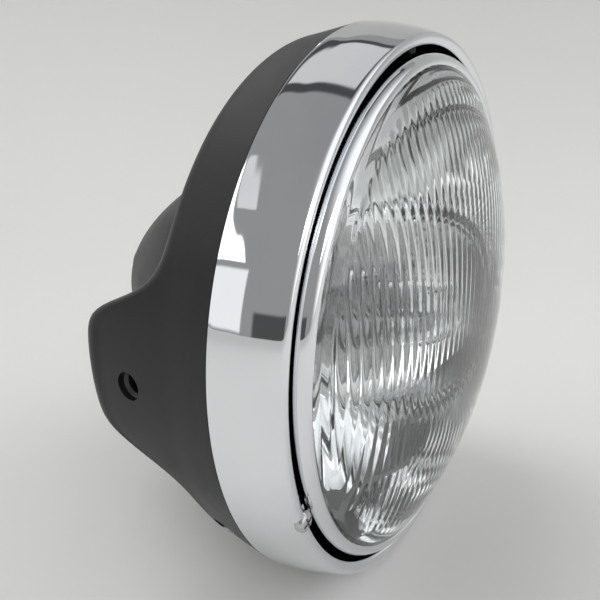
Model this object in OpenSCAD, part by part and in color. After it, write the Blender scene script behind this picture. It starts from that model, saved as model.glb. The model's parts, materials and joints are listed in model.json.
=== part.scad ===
// Motorcycle headlight: moulded bucket, chrome rim and a light unit that swings on two pivots.
// Millimetres. The glass faces -Y, the fork ears lie along X and +Z is up.
// Shapes are drawn with y = 0 on the joint between bucket and rim, then moved so the origin is the box centre.

/* [Bucket] */
// Radius of the bucket and rim where they meet
joint_r = 95; // [80:0.5:110]
// Wall thickness of the moulding
wall = 2.5; // [1.5:0.1:4]
// Depth of the shoulder behind the joint
shoulder_y = 22.4; // [15:0.1:35]
// Radius of the rounded shoulder edge
edge_r = 7.5; // [3:0.1:10]
// Depth of the rounded back behind the joint
dome_y = 114; // [90:0.5:130]
// Radius where the rounded back would meet the joint plane
dome_r = 75; // [60:0.5:85]
// Height of the back's centre
dome_z = -2.5; // [-10:0.5:10]
// How far an ear lobe reaches behind the shoulder
lobe_y = 29.3; // [15:0.1:40]
// Half width of an ear lobe at half its depth
lobe_half = 24.6; // [15:0.1:35]
// Height of the ear lobes
lobe_z = -6; // [-15:0.5:15]
// Squareness of the lobe outline
lobe_power = 7.5; // [3:0.5:12]
// Blend between the back and its shoulder
blend = 12; // [4:0.5:25]
// Depth of the spigot that the rim slides over
spigot_y = 6; // [3:0.5:8]
// Step from the flank down to the spigot
spigot_step = 2.6; // [1.5:0.1:5]

/* [Ears] */
// Depth of the ear holes behind the joint
ear_y = 32; // [20:0.5:45]
// Thickness of the skin over an ear insert
ear_skin = 2.4; // [1:0.1:5]
// Radius of the tapped wall in the insert
ear_tap_r = 3.4; // [2.5:0.05:6]
// Radius of the mouth
ear_mouth_r = 4.3; // [3:0.1:7]
// Outer radius of the insert
insert_r = 7; // [5:0.1:9]
// Length of the insert
insert_len = 12; // [8:0.1:20]

/* [Rim] */
// Width of the rim from the joint's edge in to the gap
rim_width = 8.1; // [6:0.1:12]
// Depth of the rim's lip in front of the joint
lip_y = 19.5; // [15:0.1:25]
// Angle of the rim screws below the ear line
rim_screw_angle = 39; // [20:1:70]
// Depth of the rim screws behind the joint
rim_screw_y = 12.3; // [8:0.1:16]
// Radius of the rim screw's recess
recess_r = 4.8; // [4:0.1:8]

/* [Beam adjuster] */
// Angle of the adjusting screw below the ear line
adjust_angle = 24.1; // [0:0.1:60]
// Radius of the adjusting screw's thread
adjust_shank_r = 2; // [1.5:0.1:2.5]
// Radius of its head
adjust_head_r = 2.9; // [2.4:0.1:4]
// Turns of the spring
spring_turns = 6; // [3:1:10]

/* [Light unit] */
// Gap between the rim and the light unit
gap = 1.9; // [1:0.1:4]
// Height of the glass dome above its edge
lens_rise = 16.4; // [8:0.1:25]
// Fullness of the glass dome
lens_power = 2.7; // [2:0.1:4]
// Thickness of the glass
lens_t = 3; // [2:0.1:5]
// Depth of the reflector's vertex
bowl_y = 59; // [45:0.5:75]
// Thickness of the reflector
bowl_t = 1.5; // [0.8:0.1:3]
// Radius of the pivot pins
pivot_r = 2; // [1.5:0.1:3]

/* [Bulb] */
// Radius of the bulb's locating flange
flange_r = 21.5; // [18:0.1:25]
// Outer radius of the bulb's glass
bulb_r = 8.4; // [6:0.1:11]
// Length of the bulb's glass
bulb_len = 34.4; // [20:0.1:45]

/* [Cable entry] */
// Radius of the hole in the back
entry_r = 9; // [6:0.1:14]
// Radius of the cable hole in the grommet
cable_r = 4; // [2:0.1:7]

/* [Hidden] */
$fn = 96;
k = joint_r / 95;
eps = 0.01;
run_gap = 0.05;
spigot_r = joint_r - spigot_step;
gap_r = joint_r - rim_width;
bezel_r = gap_r - gap;
lens_r = bezel_r - 3 * k;
carrier_r = bezel_r - 3.5 * k;
bowl_mouth_r = bezel_r - 3.9 * k;
rim_t = 1 * k;
carrier_front_y = 7.7 * k - lip_y;
carrier_back_y = carrier_front_y + 2 * k;
pivot_y = carrier_front_y + 3.5 * k;
pivot_head_r = pivot_r * 1.6;
gap_wall_y = pivot_y + 3.3 * k;
crimp_y = carrier_front_y - 1 * k;
mouth_y = crimp_y - 1.6 * k;
seal_y = mouth_y - 1.6 * k;
lens_edge_y = seal_y - 5.2 * k;
bowl_p = bowl_mouth_r * bowl_mouth_r / (bowl_y - mouth_y);
collar_r = flange_r + 2.7 * k;
collar_y = bowl_y - pow(flange_r + 1.7 * k, 2) / bowl_p;
seat_y = collar_y + 1.5 * k;
bulb_back_y = collar_y - 6.6 * k;
grommet_back = dome_y + 2.6 * k;
apex_y = lens_edge_y - lens_rise;
mid_y = (apex_y + grommet_back) / 2;
adjust_r = gap_r + 1.5 * k;
nut_half = adjust_shank_r * 1.55;
floor_front_y = 1.7 * k - lip_y;
floor_back_y = floor_front_y + 1.2 * k;
bracket_y = carrier_front_y + 7.5 * k;
ear_x = sqrt(pow(flank_r(ear_y), 2) - lobe_z * lobe_z) - ear_skin;
recess_floor_r = flank_r(rim_screw_y) - 2.3 * k;
split_r = dome_r * 0.83;
lamp_y = collar_r + 13.8 * k;

black = [0.13, 0.13, 0.14];
chrome = [0.82, 0.83, 0.85];
steel = [0.62, 0.63, 0.65];
zinc = [0.72, 0.7, 0.6];
rubber = [0.07, 0.07, 0.07];
clear = [0.8, 0.88, 0.9, 0.5];

// Smooth maximum of two heights
function rounded_max(a, b, k) = 0.5 * (a + b + sqrt((a - b) * (a - b) + k * k));

// Depth of the shoulder and lobes at height z
function bar_y(z, half) = shoulder_y + lobe_y / (1 + pow(abs(1.06 * z - lobe_z) / half, lobe_power));

// Depth of the rounded back at radius r and angle a
function dome_at(r, a, dr, dy) = dy * (1 - (pow(r * cos(a), 2) + pow(r * sin(a) - dome_z, 2)) / (dr * dr));

// Depth of the bucket's outer skin, or of its inner skin when t is the wall
function back_y(r, a, t) = rounded_max(bar_y(r * sin(a), lobe_half - t) - t, dome_at(r, a, dome_r - t, dome_y - t), blend);

// Radius of the flank at depth y
function flank_r(y) = joint_r - 0.15 * min(y, 16 * k) - 0.07 * max(y - 16 * k, 0);

// One line of points [radius, depth] from the shoulder to the middle of the back
function skin_line(a, t) =
    let(
        rc = edge_r - t,
        r_in = flank_r(shoulder_y) - edge_r,
        top = back_y(r_in, a, t),
        y0 = top - rc,
        r_out = flank_r(y0) - t
    )
    concat(
        [for (s = [0.35, 0.7, 1]) [flank_r(y0 * s) - t, y0 * s]],
        [for (q = [22.5, 45, 67.5]) [r_out - rc + rc * cos(q) + (r_in - r_out + rc) * q / 90, y0 + rc * sin(q)]],
        [for (s = [1, 0.93, 0.86, 0.79, 0.72, 0.64, 0.55, 0.45, 0.34, 0.22, 0.1]) [r_in * s, back_y(r_in * s, a, t)]]
    );

half_angles = [-86, -78, -70, -62, -54, -46, -39, -33, -28.5, -25, -22, -19.5, -17, -14.5, -11.5, -8, -4, 0, 4, 7.5, 10.5, 13, 15.5, 18, 21, 25, 30, 37, 45, 53, 61, 69, 77, 86];
all_angles = concat(half_angles, [for (i = [len(half_angles) - 1:-1:0]) 180 - half_angles[i]]);
outer_rings = [for (a = all_angles) concat([[spigot_r, -spigot_y], [spigot_r, 0], [joint_r, 0]], skin_line(a, 0))];
inner_rings = [for (a = all_angles) concat([[spigot_r - 2.2 * k, -spigot_y], [spigot_r - 2.2 * k, k]], skin_line(a, wall))];

// Closed shell from two sets of rings that share their first edge
module shell() {
    n = len(all_angles);
    a_count = len(outer_rings[0]);
    b_count = len(inner_rings[0]);
    base = n * a_count + 1;
    points = concat(
        [for (i = [0:n - 1]) for (p = outer_rings[i]) [p[0] * cos(all_angles[i]), p[1], p[0] * sin(all_angles[i])]],
        [[0, back_y(0, 0, 0), 0]],
        [for (i = [0:n - 1]) for (p = inner_rings[i]) [p[0] * cos(all_angles[i]), p[1], p[0] * sin(all_angles[i])]],
        [[0, back_y(0, 0, wall), 0]]
    );
    sides = concat(
        [for (i = [0:n - 1]) let(j = (i + 1) % n) for (k = [0:a_count - 2]) each [
            [i * a_count + k, i * a_count + k + 1, j * a_count + k + 1],
            [i * a_count + k, j * a_count + k + 1, j * a_count + k]
        ]],
        [for (i = [0:n - 1]) let(j = (i + 1) % n) [i * a_count + a_count - 1, base - 1, j * a_count + a_count - 1]],
        [for (i = [0:n - 1]) let(j = (i + 1) % n) for (k = [0:b_count - 2]) each [
            [base + i * b_count + k, base + j * b_count + k + 1, base + i * b_count + k + 1],
            [base + i * b_count + k, base + j * b_count + k, base + j * b_count + k + 1]
        ]],
        [for (i = [0:n - 1]) let(j = (i + 1) % n) [base + i * b_count + b_count - 1, base + j * b_count + b_count - 1, base + n * b_count]],
        [for (i = [0:n - 1]) let(j = (i + 1) % n) each [
            [i * a_count, j * a_count, base + j * b_count],
            [i * a_count, base + j * b_count, base + i * b_count]
        ]]
    );
    polyhedron(points = points, faces = [for (f = sides) [f[2], f[1], f[0]]], convexity = 8);
}

// Turned shape about the lamp's axis, from points [radius, depth]
module turned(points) {
    rotate([90, 0, 0])
        mirror([0, 0, 1])
            rotate_extrude()
                polygon(points);
}

// Points at steps from a radius and a depth
function steps_from(r, y, steps) = [for (s = steps) [r + s[0] * k, y + s[1] * k]];

// Cylinder along the lamp's axis
module along_y(r, y0, y1) {
    translate([0, y0, 0])
        rotate([-90, 0, 0])
            cylinder(r = r, h = y1 - y0);
}

// Turns its children to the rim screw on side -1 or 1, with x outward
module at_rim_screw(side) {
    rotate([0, side > 0 ? rim_screw_angle : 180 - rim_screw_angle, 0])
        translate([0, rim_screw_y, 0])
            children();
}

// Cylinder along x
module along_x(r, x0, x1) {
    translate([x0, 0, 0])
        rotate([0, 90, 0])
            cylinder(r = r, h = x1 - x0, $fn = 48);
}

// Moves its children to the adjusting screw, with x inward
module at_adjuster() {
    rotate([0, -adjust_angle, 0])
        translate([-adjust_r, 0, 0])
            children();
}

// Round piece along y at the adjusting screw
module adjuster_round(r, y0, y1) {
    translate([0, y0, 0])
        rotate([-90, 0, 0])
            cylinder(r = r, h = y1 - y0, $fn = 48);
}

// Moves its children to the ear on side -1 or 1, with z outward
module at_ear(side, x) {
    translate([side * x, ear_y, lobe_z])
        rotate([0, side * 90, 0])
            children();
}

// Whole moulding, before it is split into front and back
module moulding() {
    difference() {
        union() {
            shell();
            for (s = [-1, 1]) {
                at_ear(s, ear_x - insert_len)
                    cylinder(r = insert_r + 1.2 * wall, h = insert_len, $fn = 64);
                at_rim_screw(s)
                    along_x(recess_r + 2 * k, gap_r + rim_t + run_gap, recess_floor_r + 0.6 * k);
            }
            along_y(entry_r * 1.5, dome_y - 8 * k, dome_y);
        }
        for (s = [-1, 1]) {
            at_ear(s, ear_x - insert_len - 2 * wall)
                cylinder(r = insert_r + 0.02, h = insert_len + 2 * wall, $fn = 64);
            at_ear(s, ear_x - 1)
                cylinder(r = ear_mouth_r, h = ear_skin * 4, $fn = 64);
            at_rim_screw(s) {
                along_x(recess_r, recess_floor_r, joint_r + 5 * k);
                along_x(adjust_shank_r + 0.2, gap_r - 4 * k, joint_r + 5 * k);
            }
        }
        along_y(entry_r, dome_y - 12 * k, dome_y + 4 * k);
        along_y(entry_r + 3.4 * k, dome_y - 12 * k, dome_y - 3 * k);
        translate([0, shoulder_y * 0.58, -joint_r - 5 * k])
            cylinder(r = wall, h = 20 * k, $fn = 32);
        at_adjuster()
            translate([-3.7 * k, -spigot_y - 1, -8 * k])
                cube([8 * k, spigot_y + 6.2 * k + 1, 16 * k]);
        for (s = [-1, 1])
            translate([0, pivot_y, s * (spigot_r - 3 * k) - 4 * k])
                cylinder(r = pivot_head_r + 0.6 * k, h = 8 * k, $fn = 48);
    }
}

module bucket() {
    color(black)
    translate([0, -mid_y, 0])
        difference() {
            moulding();
            along_y(split_r, -joint_r, dome_y + joint_r);
        }
}

module bucket_back() {
    color(black)
    translate([0, -mid_y, 0])
        intersection() {
            moulding();
            along_y(split_r, -joint_r, dome_y + joint_r);
        }
}

module ear_insert(s) {
    color(zinc)
    translate([0, -mid_y, 0])
    at_ear(s, ear_x - insert_len)
        difference() {
            cylinder(r = insert_r, h = insert_len, $fn = 64);
            translate([0, 0, -eps])
                cylinder(r = ear_tap_r, h = insert_len + 1, $fn = 64);
            translate([0, 0, insert_len - (ear_mouth_r - ear_tap_r)])
                cylinder(r1 = ear_tap_r, r2 = ear_mouth_r + eps, h = ear_mouth_r - ear_tap_r + eps, $fn = 64);
        }
}

module ear_insert_left() {
    ear_insert(-1);
}

module ear_insert_right() {
    ear_insert(1);
}

module rear_grommet() {
    color(rubber)
    translate([0, -mid_y, 0])
        turned(concat(
            [[cable_r, dome_y - 5.4 * k]],
            steps_from(entry_r, dome_y, [[1.4, -5.4], [2.6, -4.2], [2.6, -3], [-0.02, -3], [-0.02, 0], [3, 0], [3, 1], [1.6, 2.6]]),
            [[cable_r, grommet_back]]
        ));
}

// Skin of the rim from the joint to the gap, then back inside
rim_outside = steps_from(joint_r, 0, [[0, 0], [-0.1, -1.2], [-0.5, -4], [-1.15, -8], [-2.15, -12]]);
rim_lip = steps_from(joint_r, -lip_y, [[-3.4, 3.5], [-4.2, 1.3], [-4.7, 0.5], [-5.3, 0.1], [-6.1, 0], [-6.9, 0.3]]);
rim_gap = concat(
    steps_from(gap_r, -lip_y, [[0.5, 0.7], [0.1, 1.2], [0, 1.8]]),
    [[gap_r, gap_wall_y], [gap_r + rim_t, gap_wall_y], [gap_r + rim_t, 2.1 * k - lip_y]]
);
rim_inside = concat(
    steps_from(joint_r, -lip_y, [[-6.6, 1.3], [-5.8, 1], [-5.1, 1.6], [-4.3, 3.5]]),
    [[joint_r - 3.05 * k, -12 * k], [spigot_r + 0.2, -8.5 * k], [spigot_r + 0.2, 0]]
);

module trim_rim() {
    color(chrome)
    translate([0, -mid_y, 0])
    difference() {
        union() {
            turned(concat(rim_outside, rim_lip, rim_gap, rim_inside));
            intersection() {
                at_adjuster()
                    translate([-8 * k, floor_front_y, -6 * k])
                        cube([16 * k, floor_back_y - floor_front_y, 12 * k]);
                turned(steps_from(bezel_r, -lip_y, [[0.6, 0], [5.2, 0], [6.8, 6.5], [0.6, 6.5]]));
            }
            for (s = [-1, 1]) {
                intersection() {
                    at_rim_screw(s)
                        translate([gap_r - 7 * k, gap_wall_y - 2 * k - rim_screw_y, -6 * k])
                            cube([12 * k, rim_screw_y + 7 * k - gap_wall_y, 12 * k]);
                    turned([[gap_r, gap_wall_y - 3 * k], [gap_r + rim_t, gap_wall_y - 3 * k], [gap_r + rim_t, 25 * k], [gap_r, 25 * k]]);
                }
                translate([-5 * k, gap_wall_y - 7.7 * k, s > 0 ? gap_r - 0.3 * k : -gap_r - rim_t - 0.4 * k])
                    cube([10 * k, 7.6 * k, rim_t + 0.7 * k]);
            }
        }
        at_adjuster() {
            adjuster_round(adjust_head_r + 0.3, floor_front_y - 10 * k, floor_front_y);
            adjuster_round(adjust_shank_r + run_gap, floor_front_y - 5 * k, floor_back_y + 5 * k);
            translate([-2.9 * k, floor_back_y, -7 * k])
                cube([9 * k, 20 * k, 14 * k]);
        }
        for (s = [-1, 1]) {
            translate([0, pivot_y, s > 0 ? gap_r - 7 * k : -gap_r - 3 * k])
                cylinder(r = pivot_r + run_gap, h = 10 * k, $fn = 48);
            at_rim_screw(s)
                along_x(adjust_shank_r + 0.2, gap_r - 4 * k, joint_r);
        }
    }
}

module rim_screw(s) {
    color(steel)
    translate([0, -mid_y, 0])
    at_rim_screw(s)
    difference() {
        union() {
            along_x(recess_r - 1.2 * k, recess_floor_r, recess_floor_r + 2 * k);
            along_x(adjust_shank_r, gap_r - 6 * k, recess_floor_r + 1 * k);
        }
        translate([recess_floor_r + 1 * k, -0.45 * k, -2.2 * k])
            cube([3 * k, 0.9 * k, 4.4 * k]);
        translate([recess_floor_r + 1 * k, -2.2 * k, -0.45 * k])
            cube([3 * k, 4.4 * k, 0.9 * k]);
    }
}

module rim_screw_left() {
    rim_screw(-1);
}

module rim_screw_right() {
    rim_screw(1);
}

module rim_nut(s) {
    color(zinc)
    translate([0, -mid_y, 0])
    at_rim_screw(s)
    difference() {
        translate([gap_r - 3.7 * k, -3.5 * k, -3.5 * k])
            cube([3.6 * k, 7 * k, 7 * k]);
        along_x(adjust_shank_r + 0.02, gap_r - 9 * k, gap_r + 3 * k);
    }
}

module rim_nut_left() {
    rim_nut(-1);
}

module rim_nut_right() {
    rim_nut(1);
}

module pivot_screw(s) {
    seat = gap_r + rim_t + 0.4 * k;
    tip = carrier_r - 0.1 * k;
    color(steel)
    translate([0, pivot_y - mid_y, 0])
        mirror([0, 0, s > 0 ? 0 : 1])
            difference() {
                union() {
                    translate([0, 0, seat])
                        cylinder(r = pivot_head_r, h = 1.5 * k, $fn = 48);
                    translate([0, 0, tip])
                        cylinder(r = pivot_r, h = seat + 0.5 * k - tip, $fn = 48);
                }
                translate([-4 * k, -0.4 * k, seat + 0.8 * k])
                    cube([8 * k, 0.8 * k, 2 * k]);
            }
}

module pivot_screw_top() {
    pivot_screw(1);
}

module pivot_screw_bottom() {
    pivot_screw(-1);
}

module adjust_screw() {
    r = adjust_head_r;
    color(steel)
    translate([0, -mid_y, 0])
    at_adjuster()
    difference() {
        union() {
            translate([0, floor_front_y, 0])
                rotate([90, 0, 0])
                    rotate_extrude($fn = 48)
                        polygon([[0, 0], [r, 0], [r, 1.2 * k], [r - 0.3 * k, 1.9 * k], [r - 0.9 * k, 2.4 * k], [0, 2.6 * k]]);
            adjuster_round(adjust_shank_r, floor_front_y - 0.5 * k, 5.2 * k);
        }
        translate([-1.9 * k, floor_front_y - 4 * k, -0.4 * k])
            cube([3.8 * k, 2.5 * k, 0.8 * k]);
        translate([-0.4 * k, floor_front_y - 4 * k, -1.9 * k])
            cube([0.8 * k, 2.5 * k, 3.8 * k]);
    }
}

// Coil about the y axis from closely stepped rings of points
module coil(mean_r, wire_r, turns, y0, y1) {
    steps = 16 * turns;
    sides = 8;
    points = [for (i = [0:steps]) for (k = [0:sides - 1])
        let(a = 360 * i / 16, q = 360 * k / sides, r = mean_r + wire_r * cos(q))
        [r * cos(a), y0 + wire_r + (y1 - y0 - 2 * wire_r) * i / steps + wire_r * sin(q), r * sin(a)]];
    faces = concat(
        [[for (k = [0:sides - 1]) k]],
        [for (i = [0:steps - 1]) for (k = [0:sides - 1]) let(m = (k + 1) % sides) each [
            [i * sides + k, (i + 1) * sides + k, (i + 1) * sides + m],
            [i * sides + k, (i + 1) * sides + m, i * sides + m]
        ]],
        [[for (k = [sides - 1:-1:0]) steps * sides + k]]
    );
    polyhedron(points = points, faces = faces, convexity = 10);
}

module adjust_spring() {
    wire = 0.3 * k;
    color(steel)
    translate([0, -mid_y, 0])
        at_adjuster()
            coil(adjust_shank_r + 0.12 * k + wire, wire, spring_turns, floor_back_y + 0.02, bracket_y - 0.02);
}

module adjust_nut() {
    color(zinc)
    translate([0, -mid_y, 0])
    at_adjuster()
    difference() {
        translate([-nut_half, bracket_y + 1.5 * k, -nut_half])
            cube([2 * nut_half, 3.2 * k, 2 * nut_half]);
        adjuster_round(adjust_shank_r + 0.55, bracket_y, bracket_y + 6 * k);
    }
}

module carrier_ring() {
    lug_z = carrier_r + 3.1 * k;
    color(steel)
    translate([0, -mid_y, 0])
    difference() {
        union() {
            turned([[carrier_r, carrier_front_y], [bezel_r, carrier_front_y], [bezel_r, carrier_back_y], [carrier_r, carrier_back_y]]);
            for (s = [-1, 1])
                translate([-5 * k, carrier_front_y + 0.5 * k, s > 0 ? carrier_r : -lug_z])
                    cube([10 * k, 7 * k, lug_z - carrier_r]);
            at_adjuster() {
                translate([3 * k, carrier_front_y + 0.5 * k, -5 * k])
                    cube([1.5 * k, bracket_y + 1 * k - carrier_front_y, 10 * k]);
                translate([-nut_half, bracket_y, -5 * k])
                    cube([nut_half + 4.5 * k, 1.5 * k, 10 * k]);
            }
        }
        for (s = [-1, 1])
            translate([0, pivot_y, s > 0 ? carrier_r - 10 * k : -carrier_r - 20 * k])
                cylinder(r = pivot_r + run_gap, h = 30 * k, $fn = 48);
        at_adjuster()
            adjuster_round(adjust_shank_r + 0.55, bracket_y - 2 * k, bracket_y + 6 * k);
    }
}

module unit_bezel() {
    color(chrome)
    translate([0, -mid_y, 0])
        turned(concat(
            [[bezel_r - 2.6 * k, carrier_front_y], [bezel_r, carrier_front_y]],
            steps_from(bezel_r, lens_edge_y, [
                [0, 3], [-0.3, 1.6], [-0.9, 0.4], [-1.6, -0.4], [-2.4, -0.8], [-3.3, -0.8], [-4, -0.4],
                [-4, 0], [-2.4, 0.6], [-1.7, 1.6], [-1.2, 3.2]
            ]),
            [[bezel_r - 1.2 * k, crimp_y], [bezel_r - 2.6 * k, crimp_y]]
        ));
}

// Depth of the front of the glass at radius r
function lens_y(r) = lens_edge_y - lens_rise * (1 - pow(r / lens_r, lens_power));

module lens() {
    steps = [for (i = [0:20]) i / 20];
    front_r = bezel_r - 4.2 * k;
    back_r = bezel_r - 6.4 * k;
    color(clear)
    translate([0, -mid_y, 0])
        turned(concat(
            [for (t = steps) [front_r * t, lens_y(front_r * t)]],
            steps_from(bezel_r, lens_edge_y, [[-4, 0.3], [-2.8, 0.8], [-2.1, 1.8]]),
            [[bezel_r - 2.1 * k, seal_y], [bezel_r - 5.4 * k, seal_y], [bezel_r - 5.6 * k, lens_edge_y + 2.6 * k]],
            [for (i = [19:-1:0]) [back_r * steps[i], lens_y(back_r * steps[i]) + lens_t]]
        ));
}

module lens_seal() {
    color(rubber)
    translate([0, -mid_y, 0])
        turned([[bezel_r - 4.8 * k, seal_y], [bezel_r - 1.6 * k, seal_y], [bezel_r - 1.6 * k, mouth_y], [bezel_r - 4.8 * k, mouth_y]]);
}

// Radius of the reflecting face at depth y
function bowl_r(y) = sqrt(bowl_p * (bowl_y - y));

module reflector() {
    steps = [for (i = [0:18]) mouth_y + (collar_y - mouth_y) * i / 18];
    color(chrome)
    translate([0, -mid_y, 0])
    difference() {
        turned(concat(
            [[bowl_mouth_r, mouth_y], [bezel_r - 1.4 * k, mouth_y], [bezel_r - 1.4 * k, crimp_y], [bowl_r(crimp_y) + bowl_t, crimp_y]],
            [for (i = [1:17]) [bowl_r(steps[i] + 0.8 * k) + bowl_t, steps[i] + 0.8 * k]],
            steps_from(collar_r, collar_y, [[1.3, 0], [1.3, 7], [0, 7], [0, 1.5], [-5, 1.5], [-5, 0]]),
            [for (i = [18:-1:1]) [bowl_r(steps[i]), steps[i]]]
        ));
        translate([0, 0, -lamp_y])
            along_y(7.05 * k, 0, bowl_y + 20 * k);
    }
}

module bulb_glass() {
    tip_y = bulb_back_y - bulb_len;
    color(clear)
    translate([0, -mid_y, 0])
        turned(concat(
            [[0, tip_y]],
            steps_from(bulb_r, tip_y, [[-5.4, 0.4], [-2.4, 2], [-0.6, 4.6], [0, 8]]),
            [[bulb_r, bulb_back_y], [bulb_r - 0.9 * k, bulb_back_y]],
            steps_from(bulb_r, tip_y, [[-0.9, 8.4], [-1.4, 5.2], [-3, 2.9], [-5.8, 1.4]]),
            [[0, tip_y + 1 * k]]
        ));
}

module bulb_shield() {
    y = bulb_back_y + 0.6 * k;
    r = bulb_r * 0.55;
    color(steel)
    translate([0, -mid_y, 0]) {
        difference() {
            along_y(r, y - 25 * k, y - 14 * k);
            along_y(r - 0.6 * k, y - 24 * k, y - 13 * k);
            translate([-6 * k, y - 26 * k, 0])
                cube([12 * k, 14 * k, 6 * k]);
        }
        for (x = [-r - 0.3 * k, r - 0.5 * k])
            translate([x, y - 17 * k, -1.2 * k])
                cube([0.8 * k, 17 * k, 1.2 * k]);
    }
}

module bulb_filaments() {
    y = bulb_back_y + 0.6 * k;
    color(steel)
    translate([0, -mid_y, 0.6 * k]) {
        along_y(0.7 * k, y - 21.5 * k, y - 16.5 * k);
        along_y(0.7 * k, y - 10 * k, y - 5 * k);
        along_y(0.35 * k, y - 5.2 * k, y);
        for (x = [-1.4, 1.4])
            translate([x * k, 0, 0])
                along_y(0.35 * k, y - 16.6 * k, y);
        for (d = [16.8, 10.2, 5.3])
            translate([-1.5 * k, y - d * k, -0.3 * k])
                cube([3 * k, 0.5 * k, 0.6 * k]);
    }
}

module bulb_base() {
    y = bulb_back_y + 0.6 * k;
    color(steel)
    translate([0, -mid_y, 0])
        turned(concat(
            [[0, y], [bulb_r, y]],
            steps_from(bulb_r, y, [[0.1, -3], [1.1, -3], [2.4, 3]]),
            [[bulb_r + 2.4 * k, seat_y], [flange_r, seat_y], [flange_r, seat_y + 1.2 * k], [bulb_r + 3.6 * k, seat_y + 1.2 * k]],
            [[bulb_r + 3.6 * k, seat_y + 11.5 * k], [0, seat_y + 11.5 * k]]
        ));
}

module bulb_terminals() {
    color(zinc)
    translate([0, seat_y + 11.5 * k - mid_y, 0]) {
        translate([-4 * k, 0, 5 * k])
            cube([8 * k, 9 * k, 0.8 * k]);
        for (s = [-1, 1])
            translate([s * 6.5 * k - 0.4 * k, 0, -5 * k])
                cube([0.8 * k, 9 * k, 8 * k]);
    }
}

module bulb_clip() {
    wire = 0.75 * k;
    color(steel)
    translate([0, seat_y + 1.25 * k + wire - mid_y, 0])
        rotate([90, 115, 0])
            rotate_extrude(angle = 310)
                translate([flange_r - 4.5 * k, 0])
                    circle(r = wire, $fn = 24);
}

module dust_boot() {
    neck_r = bulb_r + 3.62 * k;
    color(rubber)
    translate([0, -mid_y, 0])
        turned(concat(
            steps_from(collar_r, collar_y, [[1.32, 1], [3.6, 1], [3.6, 8.4], [0.8, 9.8]]),
            steps_from(neck_r, collar_y, [[6, 12], [2.8, 14.6], [2.2, 18], [0, 18], [0, 9.6], [4.6, 9.6]]),
            steps_from(collar_r, collar_y, [[-0.2, 8.2], [1.32, 7.1]])
        ));
}

module position_bulb() {
    y = collar_y - 12.8 * k;
    color(clear)
    translate([0, -mid_y, -lamp_y])
        turned(steps_from(0, y, [[0, -14.2], [2.4, -13.6], [4.2, -11.6], [4.8, -8.7], [4.8, -4.2], [3.6, 0], [0, 0]]));
}

module position_holder() {
    y = collar_y - 12.8 * k;
    color(rubber)
    translate([0, -mid_y, -lamp_y])
        turned(steps_from(0, y, [[0, 0], [5.4, 0], [5.4, -3.8], [7, -2.6], [7, 11.8], [9, 12.4], [9, 14.8], [4, 17.8], [0, 17.8]]));
}

bucket();
bucket_back();
ear_insert_left();
ear_insert_right();
rear_grommet();
trim_rim();
rim_screw_left();
rim_screw_right();
rim_nut_left();
rim_nut_right();
pivot_screw_top();
pivot_screw_bottom();
adjust_screw();
adjust_spring();
adjust_nut();
carrier_ring();
unit_bezel();
lens();
lens_seal();
reflector();
bulb_glass();
bulb_shield();
bulb_filaments();
bulb_base();
bulb_terminals();
bulb_clip();
dust_boot();
position_bulb();
position_holder();
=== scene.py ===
import json
import math

import bmesh
import bpy
import numpy as np
from mathutils import Matrix, Vector


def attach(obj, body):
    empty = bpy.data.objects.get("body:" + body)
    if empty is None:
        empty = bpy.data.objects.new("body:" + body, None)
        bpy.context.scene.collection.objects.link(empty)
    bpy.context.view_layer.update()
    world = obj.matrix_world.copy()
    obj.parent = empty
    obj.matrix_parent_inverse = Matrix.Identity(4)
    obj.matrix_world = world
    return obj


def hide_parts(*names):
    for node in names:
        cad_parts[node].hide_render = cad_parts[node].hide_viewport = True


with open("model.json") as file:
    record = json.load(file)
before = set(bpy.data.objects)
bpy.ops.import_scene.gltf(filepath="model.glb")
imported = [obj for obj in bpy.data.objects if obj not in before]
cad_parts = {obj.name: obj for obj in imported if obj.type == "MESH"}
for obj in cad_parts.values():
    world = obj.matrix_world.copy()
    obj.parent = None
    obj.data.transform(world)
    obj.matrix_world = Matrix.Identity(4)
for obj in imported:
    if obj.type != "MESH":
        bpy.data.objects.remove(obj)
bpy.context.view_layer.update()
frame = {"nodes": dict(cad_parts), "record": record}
print("frame loaded")

mm = 0.001
midY = 39.5  # the row's origin is this far behind the joint of bucket and rim
floorZ = -95.2  # just under the lowest point of the rim


def newObject(name, points, faces, sharp=40):
    where = np.array(points, float)
    where[:, 1] -= midY
    mesh = bpy.data.meshes.new(name)
    mesh.from_pydata([tuple(p) for p in where * mm], [], faces)
    mesh.update()
    mesh.validate()
    obj = bpy.data.objects.new(name, mesh)
    bpy.context.scene.collection.objects.link(obj)
    smooth(obj, sharp)
    return obj


def smooth(obj, sharp=40):
    mesh = obj.data
    mesh.polygons.foreach_set("use_smooth", [True] * len(mesh.polygons))
    mesh.set_sharp_from_angle(angle=math.radians(sharp))
    mesh.update()


# merges doubled points, such as those on the axis, and turns the faces outward
def tidyMesh(obj, sharp=40):
    work = bmesh.new()
    work.from_mesh(obj.data)
    bmesh.ops.remove_doubles(work, verts=work.verts, dist=1e-6)
    bmesh.ops.recalc_face_normals(work, faces=work.faces)
    work.to_mesh(obj.data)
    work.free()
    smooth(obj, sharp)


# smooth line through the points, both ends kept
def spline(points, steps=6):
    p = np.array(points, float)
    p = np.vstack([2 * p[0] - p[1], p, 2 * p[-1] - p[-2]])
    line = []
    for i in range(1, len(p) - 2):
        a, b, c, d = p[i - 1], p[i], p[i + 1], p[i + 2]
        for t in np.linspace(0, 1, steps, endpoint=False):
            bend, twist = 2 * a - 5 * b + 4 * c - d, 3 * b - a - 3 * c + d
            line.append(0.5 * (2 * b + (c - a) * t + bend * t**2 + twist * t**3))
    line.append(p[-2])
    return [tuple(q) for q in line]


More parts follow.
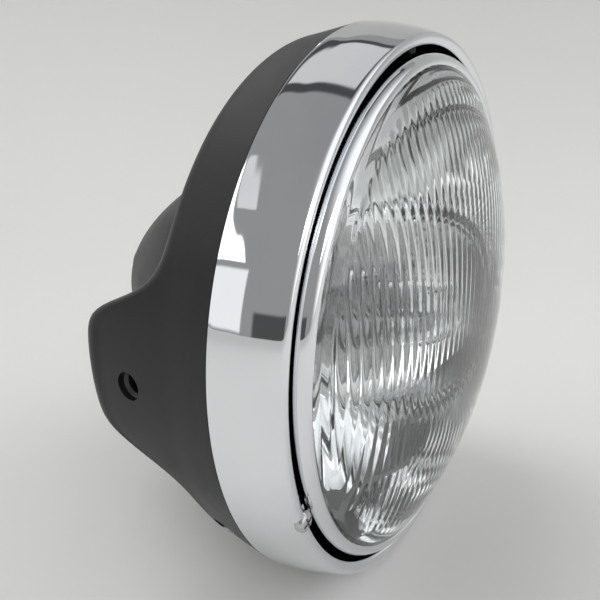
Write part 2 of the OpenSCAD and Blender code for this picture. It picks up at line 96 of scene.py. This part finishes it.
# closed surface from one closed line of radius and depth per angle
def revolve(name, lines, sharp=40):
    turns, n = len(lines), len(lines[0])
    points, faces = [], []
    for i, line in enumerate(lines):
        a = 2 * math.pi * (i + 0.5) / turns
        points += [(r * math.cos(a), y, r * math.sin(a)) for r, y in line]
    for i in range(turns):
        j = (i + 1) % turns
        for k in range(n):
            m = (k + 1) % n
            if lines[0][k][0] > 0 or lines[0][m][0] > 0:
                faces.append((i * n + k, i * n + m, j * n + m, j * n + k))
    obj = newObject(name, points, faces, sharp)
    tidyMesh(obj, sharp)
    return obj


def lathe(name, profile, turns=288, sharp=40):
    return revolve(name, [profile] * turns, sharp)


# cylinder between two points, used to cut
def rod(start, end, radius, sides=64):
    start, end = Vector(start), Vector(end)
    along = (end - start).normalized()
    side = along.orthogonal().normalized()
    other = along.cross(side)
    points = []
    for p in (start, end):
        for k in range(sides):
            a = 2 * math.pi * k / sides
            points.append(tuple(p + radius * (math.cos(a) * side + math.sin(a) * other)))
    faces = [(k, (k + 1) % sides, sides + (k + 1) % sides, sides + k) for k in range(sides)]
    faces += [tuple(range(sides))[::-1], tuple(range(sides, 2 * sides))]
    return newObject("cutter", points, faces)


def cut(obj, cutters, sharp=40):
    for cutter in cutters:
        change = obj.modifiers.new("cut", "BOOLEAN")
        change.operation = "DIFFERENCE"
        change.solver = "EXACT"
        change.object = cutter
    bpy.context.view_layer.update()
    graph = bpy.context.evaluated_depsgraph_get()
    shaped = bpy.data.meshes.new_from_object(obj.evaluated_get(graph))
    obj.modifiers.clear()
    obj.data = shaped
    for cutter in cutters:
        bpy.data.objects.remove(cutter, do_unlink=True)
    smooth(obj, sharp)
    return obj


# a node's socket that can be used in sums
class Value:
    def __init__(self, shader, socket):
        self.shader, self.socket = shader, socket

    def sum(self, operation, first, second):
        return self.shader.node("Math", {"operation": operation}, [first, second])

    def __add__(self, other):
        return self.sum("ADD", self, other)

    def __radd__(self, other):
        return self.sum("ADD", other, self)

    def __sub__(self, other):
        return self.sum("SUBTRACT", self, other)

    def __rsub__(self, other):
        return self.sum("SUBTRACT", other, self)

    def __mul__(self, other):
        return self.sum("MULTIPLY", self, other)

    def __rmul__(self, other):
        return self.sum("MULTIPLY", other, self)

    def __truediv__(self, other):
        return self.sum("DIVIDE", self, other)

    def __rtruediv__(self, other):
        return self.sum("DIVIDE", other, self)


# a material or a world, with one way to add any node
class Shader:
    def __init__(self, owner):
        owner.use_nodes = True
        self.owner, self.tree = owner, owner.node_tree
        self.tree.nodes.clear()

    def node(self, kind, settings, inputs, output=0):
        made = self.tree.nodes.new("ShaderNode" + kind)
        for key, value in settings.items():
            setattr(made, key, value)
        pairs = inputs.items() if isinstance(inputs, dict) else enumerate(inputs)
        for key, value in pairs:
            if isinstance(value, Value):
                self.tree.links.new(value.socket, made.inputs[key])
            else:
                made.inputs[key].default_value = value
        return Value(self, made.outputs[output])

    def place(self):
        return self.node("TexCoord", {}, [], "Object")

    def noise(self, scale, detail=2.0):
        return self.node("TexNoise", {}, {"Vector": self.place(), "Scale": scale, "Detail": detail})

    def stretched(self, scale, size):
        wide = self.node("VectorMath", {"operation": "MULTIPLY"}, [self.place(), scale])
        return self.node("TexNoise", {}, {"Vector": wide, "Scale": size, "Detail": 2.0})

    # 0 below low, 1 above high, and the other way round where low is the larger
    def fade(self, value, low, high):
        return self.node("MapRange", {"interpolation_type": "SMOOTHSTEP"}, [value, low, high])

    def mix(self, factor, first, second):
        return self.node("Mix", {"data_type": "RGBA"}, {0: factor, 6: first, 7: second}, 2)

    def bump(self, height, strength, distance):
        return self.node("Bump", {}, {"Strength": strength, "Distance": distance, "Height": height})

    def surface(self, shade):
        kind = "World" if isinstance(self.owner, bpy.types.World) else "Material"
        out = self.tree.nodes.new("ShaderNodeOutput" + kind)
        self.tree.links.new(shade.socket, out.inputs["Surface"])
        return self.owner

    def principled(self, inputs):
        return self.surface(self.node("BsdfPrincipled", {}, inputs))


def shader(name):
    return Shader(bpy.data.materials.new(name))


blackLook = {
    "dark": (0.008, 0.008, 0.0087, 1), "light": (0.013, 0.013, 0.0137, 1), "cloud": 45.0,
    "roughness": 0.43, "cloudRoughness": 0.08, "specular": 0.36, "grain": 1500, "bump": 0.12, "depth": 0.0002,
}


def makeBlack(look):
    s = shader("mouldedBlack")
    cloud = s.fade(s.noise(look["cloud"], 3.0), 0.35, 0.65)
    return s.principled({
        "Base Color": s.mix(cloud, look["dark"], look["light"]),
        "Roughness": cloud * look["cloudRoughness"] + (look["roughness"] - look["cloudRoughness"] / 2),
        "Specular IOR Level": look["specular"],
        "Normal": s.bump(s.noise(look["grain"]), look["bump"], look["depth"]),
    })


chromeLook = {
    "colour": (0.82, 0.835, 0.855, 1), "film": (0.75, 0.775, 0.805, 1), "filmScale": 28.0,
    "roughness": 0.03, "smear": 0.05, "wave": 0.05, "waveScale": 40.0, "depth": 0.0006,
}
mirrorLook = {
    "colour": (0.93, 0.93, 0.935, 1), "film": (0.89, 0.9, 0.91, 1), "filmScale": 28.0,
    "roughness": 0.03, "smear": 0.03, "wave": 0.02, "waveScale": 40.0, "depth": 0.0006,
}


# plated or vapour-coated metal: a thin film of smears and a faint wave in the reflections
def makePlated(name, look):
    s = shader(name)
    film = s.fade(s.noise(look["filmScale"], 4.0), 0.4, 0.75)
    return s.principled({
        "Base Color": s.mix(film, look["colour"], look["film"]),
        "Metallic": 1.0,
        "Roughness": film * look["smear"] + look["roughness"],
        "Normal": s.bump(s.noise(look["waveScale"], 1.0), look["wave"], look["depth"]),
    })


steelLook = {"bright": (0.58, 0.58, 0.59, 1), "dull": (0.3, 0.3, 0.31, 1), "roughness": 0.2}
brassLook = {"bright": (0.74, 0.6, 0.33, 1), "dull": (0.52, 0.4, 0.2, 1), "roughness": 0.28}
# near-black turned metal for the parts in the gap and the ear holes: painted shade, standing in for the shade
# there
shadeBlackLook = {"bright": (0.1, 0.1, 0.1, 1), "dull": (0.04, 0.04, 0.04, 1), "roughness": 0.5}
toolMarks = {"stretch": (1.0, 12.0, 1.0), "scale": 260.0, "roughness": 0.12, "bump": 0.12, "depth": 0.0001}
dullPatch = {"scale": 160.0, "roughness": 0.1}


# turned fastener: fine tool marks round the axis and duller patches
def makeTurned(name, look):
    s = shader(name)
    marks = s.stretched(toolMarks["stretch"], toolMarks["scale"])
    dull = s.fade(s.noise(dullPatch["scale"], 3.0), 0.45, 0.75)
    return s.principled({
        "Base Color": s.mix(dull, look["bright"], look["dull"]),
        "Metallic": 1.0,
        "Roughness": marks * toolMarks["roughness"] + dull * dullPatch["roughness"] + look["roughness"],
        "Normal": s.bump(marks, toolMarks["bump"], toolMarks["depth"]),
    })


glassLook = {"colour": (0.965, 0.985, 0.985, 1), "ior": 1.5, "wave": 0.1, "film": 0.04, "depth": 0.0004}
bulbLook = {"colour": (0.97, 0.98, 0.985, 1), "ior": 1.2, "wave": 0.02, "film": 0.04, "depth": 0.0004}


def makeGlass(name, look):
    s = shader(name)
    return s.principled({
        "Base Color": look["colour"],
        "Roughness": s.fade(s.noise(70.0, 3.0), 0.5, 0.9) * look["film"],
        "IOR": look["ior"],
        "Transmission Weight": 1.0,
        "Normal": s.bump(s.noise(150.0, 1.0), look["wave"], look["depth"]),
    })


rubberLook = {"dark": (0.011, 0.011, 0.011, 1), "bloom": (0.026, 0.026, 0.026, 1), "roughness": 0.68}
sealLook = {"dark": (0.5, 0.52, 0.52, 1), "bloom": (0.62, 0.63, 0.63, 1), "roughness": 0.45}
rubberGrain = {"bloomRoughness": 0.1, "scale": 900.0, "bump": 0.15, "depth": 0.0002}


def makeRubber(name, look):
    s = shader(name)
    bloom = s.fade(s.noise(80.0, 3.0), 0.4, 0.7)
    return s.principled({
        "Base Color": s.mix(bloom, look["dark"], look["bloom"]),
        "Roughness": bloom * rubberGrain["bloomRoughness"] + look["roughness"],
        "Normal": s.bump(s.noise(rubberGrain["scale"]), rubberGrain["bump"], rubberGrain["depth"]),
    })


looks = {
    "black": makeBlack(blackLook),
    "chrome": makePlated("chromePlate", chromeLook),
    "mirror": makePlated("reflectorCoat", mirrorLook),
    "steel": makeTurned("turnedSteel", steelLook),
    "brass": makeTurned("turnedBrass", brassLook),
    "glass": makeGlass("pressedGlass", glassLook),
    "bulb_clear": makeGlass("bulbGlass", bulbLook),
    "rubber": makeRubber("rubber", rubberLook),
}
print("materials made")


def dress(obj, slot, body, *nodes):
    obj.data.materials.clear()
    obj.data.materials.append(looks[slot])
    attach(obj, body)
    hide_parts(*nodes)


bucket = {
    "turns": 360, "jointR": 95.0, "wall": 2.5, "chamfer": 0.35, "shoulderY": 22.4, "edgeR": 7.5,
    "taper": 0.15, "taperY": 16, "backTaper": 0.07,  # the flank narrows faster before taperY than behind it
    "domeY": 114.0, "domeR": 75.0, "domeZ": -2.5, "blend": 12.0,
    "lobeY": 29.3, "lobeHalf": 24.6, "lobeZ": -6.0, "lobePower": 7.5, "lobeSqueeze": 1.06,
    "spigotY": 6.0, "spigotR": 92.4, "spigotWall": 2.2, "spigotEnd": 1.0, "entryR": 9.0, "entryY": (100, 120),
    "earY": 32.0, "earX": 88.9, "insertX": 74, "insertR": 7.02, "mouthX": (86, 99), "mouthR": 4.3,
    "screwAngle": 39.0, "slotAngle": 36.0, "screwY": 12.3, "recessR": 4.8, "recessFloor": 2.3, "recessTop": 100,
}


# depth at radius r and angle a of the skin that lies t inside the outer one: a bar with two lobes,
# blended with the rounded back
def backY(r, a, t):
    b = bucket
    z = r * math.sin(a)
    side = abs(b["lobeSqueeze"] * z - b["lobeZ"]) / (b["lobeHalf"] - t)
    bar = b["shoulderY"] + b["lobeY"] / (1 + side ** b["lobePower"]) - t
    off = (r * math.cos(a)) ** 2 + (z - b["domeZ"]) ** 2
    dome = (b["domeY"] - t) * (1 - off / (b["domeR"] - t) ** 2)
    return 0.5 * (bar + dome + math.hypot(bar - dome, b["blend"]))


def flankR(y):
    b = bucket
    return b["jointR"] - b["taper"] * min(y, b["taperY"]) - b["backTaper"] * max(y - b["taperY"], 0)


# flank, rounded edge and back of the skin at angle a, as radius and depth
def skinLine(a, t, fine):
    edge = bucket["edgeR"] - t
    rIn = flankR(bucket["shoulderY"]) - bucket["edgeR"]
    y0 = backY(rIn, a, t) - edge
    rOut = flankR(y0) - t
    line = [(flankR(y0 * s) - t, y0 * s) for s in np.linspace(0.1, 1, 8 * fine)]
    for q in np.linspace(0, 90, 8 * fine + 1)[1:-1]:
        c = math.radians(q)
        r = rOut - edge + edge * math.cos(c) + (rIn - rOut + edge) * q / 90
        line.append((r, y0 + edge * math.sin(c)))
    return line + [(rIn * s, backY(rIn * s, a, t)) for s in np.linspace(1, 0.02, 24 * fine)]


def makeBucket():
    b = bucket
    spigotIn = b["spigotR"] - b["spigotWall"]
    lines = []
    for i in range(b["turns"]):
        a = 2 * math.pi * (i + 0.5) / b["turns"]
        outer = [(b["spigotR"], -b["spigotY"]), (b["spigotR"], 0.0)]
        outer += [(b["jointR"] - b["chamfer"], 0.0), (b["jointR"], b["chamfer"])] + skinLine(a, 0, 2)
        inner = [(spigotIn, -b["spigotY"]), (spigotIn, b["spigotEnd"])] + skinLine(a, b["wall"], 1)
        middle = [(0.0, backY(0.0, 0.0, 0)), (0.0, backY(0.0, 0.0, b["wall"]))]
        lines.append(outer + middle + inner[::-1])
    obj = revolve("bucketShell", lines)
    cutters = [rod((0, b["entryY"][0], 0), (0, b["entryY"][1], 0), b["entryR"])]
    deep = flankR(b["screwY"]) - b["recessFloor"]
    for s in (-1, 1):
        for x0, x1, r in ((*b["mouthX"], b["mouthR"]), (b["insertX"], b["earX"], b["insertR"])):
            cutters.append(rod((s * x0, b["earY"], b["lobeZ"]), (s * x1, b["earY"], b["lobeZ"]), r))
        for angle in np.linspace(b["screwAngle"], b["slotAngle"], 3):  # the recess runs a little up the flank
            c, d = s * math.cos(math.radians(angle)), -math.sin(math.radians(angle))
            ends = [(r * c, b["screwY"], r * d) for r in (deep, b["recessTop"])]
            cutters.append(rod(*ends, b["recessR"]))
    return cut(obj, cutters)


bucketShell = makeBucket()
dress(bucketShell, "black", "shell", "bucket", "bucket_back")
print("bucket made", len(bucketShell.data.polygons))

rim = {
    "skin": [(95, 0), (94.9, -1.2), (94.5, -4), (93.85, -8), (92.85, -12), (91.6, -16), (90.8, -18.2), (90.3, -19),
             (89.7, -19.4), (88.9, -19.5), (88.1, -19.2), (87.4, -18.8), (87.0, -18.3), (86.9, -17.7)],
    "inside": [(86.9, -5), (87.9, -5), (87.9, -17.4), (88.4, -18.2), (89.2, -18.5), (89.9, -17.9), (90.7, -16),
               (91.95, -12), (92.6, -8.5), (92.6, 0)],
    "screwR": 88.4, "screwAngle": 24.1, "headR": 3.2, "headTop": -30,
    "floorY": (-17.8, -16.6), "floorR": (85.6, 90.6), "floorHalf": 3.4,
    "roomR": (82.3, 90.3), "roomY": (-16.6, 3.4), "roomHalf": 7.0,
    "pivotY": -8.3, "pivotR": 2.06, "pivotZ": (84, 89.5),
}


# small shelf inside the lip that the adjusting screw's head stands on
def addShelf(obj):
    work = bmesh.new()
    work.from_mesh(obj.data)
    rows = []
    for t in np.linspace(-1, 1, 9):
        a = math.radians(180 + rim["screwAngle"]) + t * rim["floorHalf"] / rim["screwR"]
        spots = [(r * math.cos(a), y - midY, r * math.sin(a)) for r in rim["floorR"] for y in rim["floorY"]]
        rows.append([work.verts.new(Vector(spot) * mm) for spot in spots])
    for p, q in zip(rows, rows[1:]):
        for i, j in ((0, 1), (1, 3), (3, 2), (2, 0)):
            work.faces.new((p[i], p[j], q[j], q[i]))
    for end in (rows[0], rows[-1]):
        work.faces.new((end[0], end[1], end[3], end[2]))
    bmesh.ops.recalc_face_normals(work, faces=work.faces)
    work.to_mesh(obj.data)
    work.free()
    smooth(obj, 50)


# block that opens the gap wall for the bracket and nut of the adjusting screw
def bracketRoom():
    a = math.radians(rim["screwAngle"])
    points = []
    for r in rim["roomR"]:
        for y in rim["roomY"]:
            for t in (-rim["roomHalf"], rim["roomHalf"]):
                points.append((-r * math.cos(a) + t * math.sin(a), y, -r * math.sin(a) - t * math.cos(a)))
    sides = [(0, 1, 3, 2), (4, 6, 7, 5), (0, 4, 5, 1), (2, 3, 7, 6), (0, 2, 6, 4), (1, 5, 7, 3)]
    obj = newObject("cutter", points, sides)
    tidyMesh(obj)
    return obj


def makeRim():
    obj = lathe("rimBand", spline(rim["skin"]) + rim["inside"], 360, 50)
    a = math.radians(rim["screwAngle"])
    x, z = -rim["screwR"] * math.cos(a), -rim["screwR"] * math.sin(a)
    cutters = [rod((x, rim["floorY"][0], z), (x, rim["headTop"], z), rim["headR"]), bracketRoom()]
    for s in (-1, 1):
        ends = [(0, rim["pivotY"], s * z) for z in rim["pivotZ"]]
        cutters.append(rod(*ends, rim["pivotR"]))
    cut(obj, cutters, 50)
    addShelf(obj)
    return obj


rimBand = makeRim()
dress(rimBand, "chrome", "shell", "trim_rim")
print("rim made", len(rimBand.data.polygons))

bezel = {
    "outer": [(85, -18.2), (84.7, -19.6), (84.1, -20.8), (83.4, -21.6), (82.6, -22), (81.7, -22), (81, -21.6)],
    "inner": [(81, -21.2), (82.6, -20.6), (83.3, -19.6), (83.8, -18), (83.8, -12.8), (82.4, -12.8),
              (82.4, -11.8), (85, -11.8)],
}
bezelRing = lathe("bezelRing", spline(bezel["outer"]) + bezel["inner"], 360, 50)
dress(bezelRing, "chrome", "light_unit", "unit_bezel")
print("retaining ring made", len(bezelRing.data.polygons))

# the glass carries its pattern on the back: upright flutes above, a smoother prism band, flutes again below
lens = {
    "edgeY": -21.2, "rise": 16.4, "radius": 82.0, "power": 2.7, "thick": 3.0, "edgeR": 80.8, "backR": 78.6,
    "turns": 288, "pitch": 4.1, "border": 75.0, "fade": 2.2,
    "ledges": (-41.5, -6.5), "ledgeStep": 0.02,
    "flutes": {"low": 0.36, "mid": 0.2, "high": 0.46},
    "prism": {"low": 0.4, "mid": 0.4}, "prismFade": 14,
    "columns": 421, "rows": {"low": 15, "mid": 15, "high": 40},
    "edge": [(81, -20.9), (82.2, -20.4), (82.9, -19.4), (82.9, -16), (79.6, -16), (79.4, -18.6)],
}


def lensY(r):
    return lens["edgeY"] - lens["rise"] * (1 - (r / lens["radius"]) ** lens["power"])


# how far the pattern stands out of the back at x, z; part is low, mid or high
def patternY(x, z, part):
    inside = min(max((lens["border"] - math.hypot(x, z)) / lens["fade"], 0.0), 1.0)
    inside = inside * inside * (3 - 2 * inside)
    rib = 1 - (2 * ((x / lens["pitch"]) % 1.0) - 1) ** 2
    low, high = lens["ledges"]
    wedge = 0.0
    if part == "mid":
        wedge = lens["prism"]["mid"] * (z - low) / (high - low)
    if part == "low":
        wedge = lens["prism"]["low"] * max(0.0, 1 - (low - z) / lens["prismFade"])
    return inside * (lens["flutes"][part] * rib + wedge)


def makeLens():
    edge, back = lens["edgeR"], lens["backR"]
    profile = [(r, lensY(r)) for r in np.linspace(0, edge, 48)] + lens["edge"]
    profile.append((back, lensY(back) + lens["thick"]))
    turns, n = lens["turns"], len(profile)
    points, faces = [], []
    for i in range(turns):
        a = 2 * math.pi * i / turns
        points += [(r * math.cos(a), y, r * math.sin(a)) for r, y in profile]
    for i in range(turns):
        j = (i + 1) % turns
        faces += [(i * n + k, i * n + k + 1, j * n + k + 1, j * n + k) for k in range(n - 1)]
    # the back is a grid of columns, closer together toward the sides, with a step at each ledge
    base, columns, counts, step = len(points), lens["columns"], lens["rows"], lens["ledgeStep"]
    low, high = lens["ledges"]
    for c in range(columns):
        turn = (2 * c / (columns - 1) - 1) * math.pi / 2
        x = back * math.sin(turn * 0.9999)  # the end columns keep a little height
        top = math.sqrt(back ** 2 - x * x)
        a, b = max(low, -top), max(high, -top)
        rows = [(z, "low") for z in np.linspace(-top, a, counts["low"])]
        rows += [(z, "mid") for z in np.linspace(a + step, b, counts["mid"])]
        rows += [(z, "high") for z in b + step + (top - b - step) * np.linspace(0, 1, counts["high"]) ** 0.8]
        for z, part in rows:
            y = lensY(min(math.hypot(x, z), back)) + lens["thick"] + patternY(x, z, part)
            points.append((x, y, z))
    m = sum(counts.values())
    for c in range(columns - 1):
        p, q = base + c * m, base + (c + 1) * m
        faces += [(p + r, p + r + 1, q + r + 1, q + r) for r in range(m - 1)]
    obj = newObject("lensGlass", points, faces, 60)
    tidyMesh(obj, 60)
    return obj


lensGlass = makeLens()
dress(lensGlass, "glass", "light_unit", "lens")
print("lens made", len(lensGlass.data.polygons))

bowl = {
    "width": 89.6, "vertexY": 59.0, "thick": 1.5, "shift": 0.8, "mouthY": -14.4, "collarY": 53.0,
    "flangeR": 83.6, "flangeY": -12.8,
    "collar": [(25.5, 53), (25.5, 60), (24.2, 60), (24.2, 54.5), (19.2, 54.5), (19.2, 53)],
    "holderZ": -38.0, "holderR": 7.05, "holderY": (20, 70),
}


def bowlR(y):
    return math.sqrt(bowl["width"] * (bowl["vertexY"] - y))


def makeBowl():
    b = bowl
    steps = np.linspace(b["mouthY"], b["collarY"], 40)
    profile = [(bowlR(b["mouthY"]), b["mouthY"]), (b["flangeR"], b["mouthY"]), (b["flangeR"], b["flangeY"])]
    profile.append((bowlR(b["flangeY"]) + b["thick"], b["flangeY"]))
    profile += [(bowlR(y) + b["thick"], y + b["shift"]) for y in steps[2:-2]] + b["collar"]
    profile += [(bowlR(y), y) for y in steps[::-1][:-1]]
    obj = lathe("reflectorBowl", profile, 288, 50)
    ends = [(0, y, b["holderZ"]) for y in b["holderY"]]
    return cut(obj, [rod(*ends, b["holderR"])], 50)


reflectorBowl = makeBowl()
dress(reflectorBowl, "mirror", "light_unit", "reflector")
print("reflector made", len(reflectorBowl.data.polygons))

slots = {row["node"]: row["material_slot"] for row in frame["record"]["subparts"]}
# the parts in the gap and in the ear holes are painted near-black as painted shade, for the shade that fills the
# gap and the holes; the seal and the position holder are pale, so that nothing dark shows through the glass
shadeBlack, paleSeal = makeTurned("paintedShadeBlack", shadeBlackLook), makeRubber("paleSeal", sealLook)
dark = ["ear_insert_left", "ear_insert_right", "carrier_ring", "pivot_screw_top", "pivot_screw_bottom",
        "adjust_nut", "adjust_spring"]
pale = ["lens_seal", "position_holder"]
own = {**dict.fromkeys(dark, shadeBlack), **dict.fromkeys(pale, paleSeal)}
for name, obj in frame["nodes"].items():
    obj.data.materials.clear()
    obj.data.materials.append(own.get(name, looks[slots[name]]))
print("other nodes dressed")

stage = {
    "floor": (0.66, 0.66, 0.65, 1), "roughness": 0.8,
    "sweep": {"turn": 57.7, "start": 0.4, "round": 1.4, "height": 1.9, "flat": 4.0, "wider": 1.5, "taller": 0.4},
    "key": {"at": (0.1, 0.5, 1.2), "size": 0.8, "power": 6.0},
    "fill": {"at": (-1.0, -0.7, 0.8), "size": 0.9, "power": 2.5},
    "front": {"at": (0.75, -1.15, 0.5), "size": 0.8, "power": 5.0},
}


paper = shader("paper").principled({"Base Color": stage["floor"], "Roughness": stage["roughness"]})


# paper turned from one direction to another; hidden paper neither lights the headlight nor shows in its chrome
def makePaper(name, profile, start, end, hidden):
    w = stage["sweep"]
    steps, n = 48, len(profile)
    points, faces = [], []
    for i in range(steps + 1):
        turn = start + (end - start) * i / steps
        a = math.radians(turn)
        aside = min(abs(turn - w["turn"]) / 90, 1) ** 3  # 0 behind the lamp, 1 from the sides on
        line = [(r + aside * w["wider"] if r else r, h * (1 + aside * w["taller"])) for r, h in profile]
        points += [(r * math.sin(a), r * math.cos(a), floorZ * mm + h) for r, h in line]
    for i in range(steps):
        p, q = i * n, (i + 1) * n
        faces += [(p + k, p + k + 1, q + k + 1, q + k) for k in range(n - 1)]
    mesh = bpy.data.meshes.new(name)
    mesh.from_pydata(points, [], faces)
    obj = bpy.data.objects.new(name, mesh)
    bpy.context.scene.collection.objects.link(obj)
    smooth(obj, 60)
    obj.data.materials.append(paper)
    if hidden:
        obj.visible_diffuse = obj.visible_glossy = obj.visible_shadow = False


# pale paper floor that curves up all round, in a far half and a half behind the main camera
def makeStage():
    w = stage["sweep"]
    curve = []
    for q in np.linspace(0, 90, 25):
        c = math.radians(q)
        curve.append((w["start"] + w["round"] * math.sin(c), w["round"] * (1 - math.cos(c))))
    curve.append((w["start"] + w["round"], w["height"]))
    makePaper("paperFar", [(0.0, 0.0)] + curve, w["turn"] - 90, w["turn"] + 90, False)
    makePaper("paperNear", [(0.0, 0.0), (w["flat"], 0.0)], w["turn"] + 90, w["turn"] + 270, False)
    makePaper("paperScreen", curve, w["turn"] + 90, w["turn"] + 270, True)


def makeLamp(name):
    look = stage[name]
    data = bpy.data.lights.new(name, "AREA")
    data.shape = "DISK"
    data.size = look["size"]
    data.energy = look["power"]
    lamp = bpy.data.objects.new(name, data)
    lamp.location = look["at"]
    lamp.rotation_euler = (-Vector(look["at"])).to_track_quat("-Z", "Y").to_euler()
    lamp.visible_camera = lamp.visible_glossy = False  # metal and glass show the room's panels instead
    bpy.context.scene.collection.objects.link(lamp)


# the room round the lamp: mid grey, lighter in front, with soft panels that the chrome shows
room = {
    "grey": 0.32, "front": 1.25, "frontX": (-0.7, -0.1), "frontY": (-0.1, -0.6), "horizon": (0.05, 0.1),
    "panels": [  # side, limits across it and up it as tangents, level
        ("up", (0.06, 0.84), (-0.12, 0.58), 0.07),
        ("up", (0.15, 0.76), (-0.03, 0.5), 0.66),
        ("up", (-1.05, -0.45), (0.43, 0.62), 0.75),
        ("up", (-2.2, 0.9), (0.66, 2.4), 2.0),
        ("left", (-0.5, 0.1), (-0.06, 0.15), 0.08),
        ("left", (0.2, 0.95), (-0.02, 0.42), 0.98),
        ("front", (-0.95, -0.4), (0.56, 1.04), 4.0),
    ],
    "soft": 0.03,
}


def makeRoom():
    world = bpy.data.worlds.new("room")
    bpy.context.scene.world = world
    s = Shader(world)
    where = s.node("TexCoord", {}, [], "Generated")
    x, y, z = [s.node("SeparateXYZ", {}, [where], k) for k in range(3)]
    sides = {"up": (z, x, y), "left": (0.0 - x, y, z), "front": (0.0 - y, x, z)}
    front = s.fade(y, *room["frontY"]) * s.fade(x, *room["frontX"])
    level = front * (room["front"] - room["grey"]) + room["grey"]
    soft = room["soft"]
    for side, acrossLimits, upLimits, tone in room["panels"]:
        along, across, up = sides[side]
        mask = s.fade(along, *room["horizon"])
        for value, (low, high) in ((across / along, acrossLimits), (up / along, upLimits)):
            mask = mask * s.fade(value, low, low + soft) * s.fade(value, high, high - soft)
        level = level * (1 - mask) + mask * tone
    s.surface(s.node("Background", {}, {"Color": (1, 1, 1, 1), "Strength": level}))


# fitted to the outlines in the photograph; place in millimetres from the joint of bucket and rim
view = {"yaw": 57.697, "pitch": -16.812, "at": (-194.607, -89.760, 65.144), "lens": 36, "sensor": 36, "near": 0.01}


def makeCamera():
    yaw, pitch = math.radians(view["yaw"]), math.radians(view["pitch"])
    ahead = Vector((math.sin(yaw) * math.cos(pitch), math.cos(yaw) * math.cos(pitch), math.sin(pitch)))
    right = ahead.cross(Vector((0, 0, 1))).normalized()
    data = bpy.data.cameras.new("camera")
    data.lens, data.sensor_width, data.clip_start = view["lens"], view["sensor"], view["near"]
    camera = bpy.data.objects.new("camera", data)
    turn = Matrix((right, right.cross(ahead), -ahead)).transposed().to_4x4()
    place = (Vector(view["at"]) - Vector((0, midY, 0))) * mm
    camera.matrix_world = Matrix.Translation(place) @ turn
    bpy.context.scene.collection.objects.link(camera)
    bpy.context.scene.camera = camera


makeStage()
for name in ("key", "fill", "front"):
    makeLamp(name)
makeRoom()
makeCamera()
bpy.context.scene.view_settings.view_transform = "Standard"
print("stage, lamps, room and camera made")
